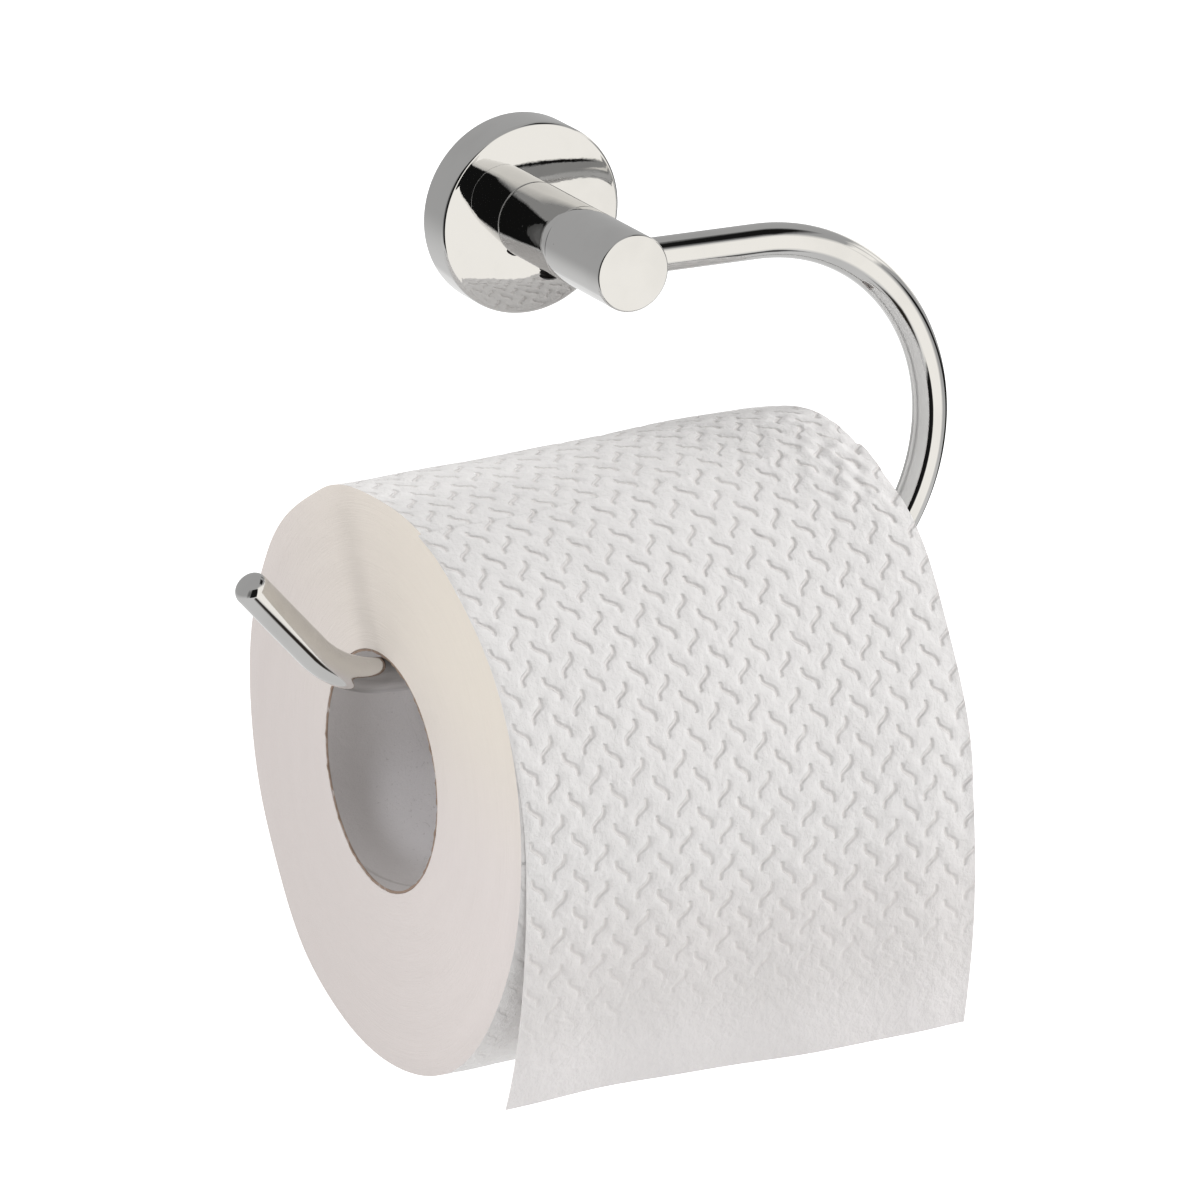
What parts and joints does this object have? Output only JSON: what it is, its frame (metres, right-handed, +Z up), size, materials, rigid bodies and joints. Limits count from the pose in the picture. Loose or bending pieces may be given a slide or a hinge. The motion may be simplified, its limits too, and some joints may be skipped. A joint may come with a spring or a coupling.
{
  "type": "toilet paper holder",
  "caption": "Wall-mounted toilet paper holder: round flange, short post and an open-ended bent rod that goes through the core of a paper roll, which turns on it.",
  "frame": {"origin": "centre of the flange's back face, on the wall plane", "axes": "+Y into the wall, so the post stands out towards -Y; +Z up; +X to the right, where the rod leaves the post, as seen from the room"},
  "size_m": [0.1601, 0.1194, 0.1798],
  "materials": {
    "chrome": "polished chrome plate",
    "bracket_zinc": "matt die-cast zinc",
    "plated_steel": "zinc-plated steel",
    "black_steel": "black oxide steel",
    "cardboard": "thin grey-brown board",
    "paper": "soft embossed tissue"
  },
  "bodies": {
    "holder": {"wall_bracket": "bracket_zinc", "flange_cover": "chrome", "post_sleeve": "chrome", "set_screw": "black_steel", "post_head": "chrome", "head_screw": "plated_steel", "rod_lock_screw": "black_steel", "hanger_rod": "chrome"},
    "roll": {"core_tube": "cardboard", "paper_roll": "paper", "paper_tail": "paper"}
  },
  "joints": [
    {"name": "roll_spin", "type": "hinge", "parent": "holder", "child": "roll", "pos_m": [0.0005, -0.0416, -0.10018], "axis": [1, 0, 0], "continuous": true}
  ]
}
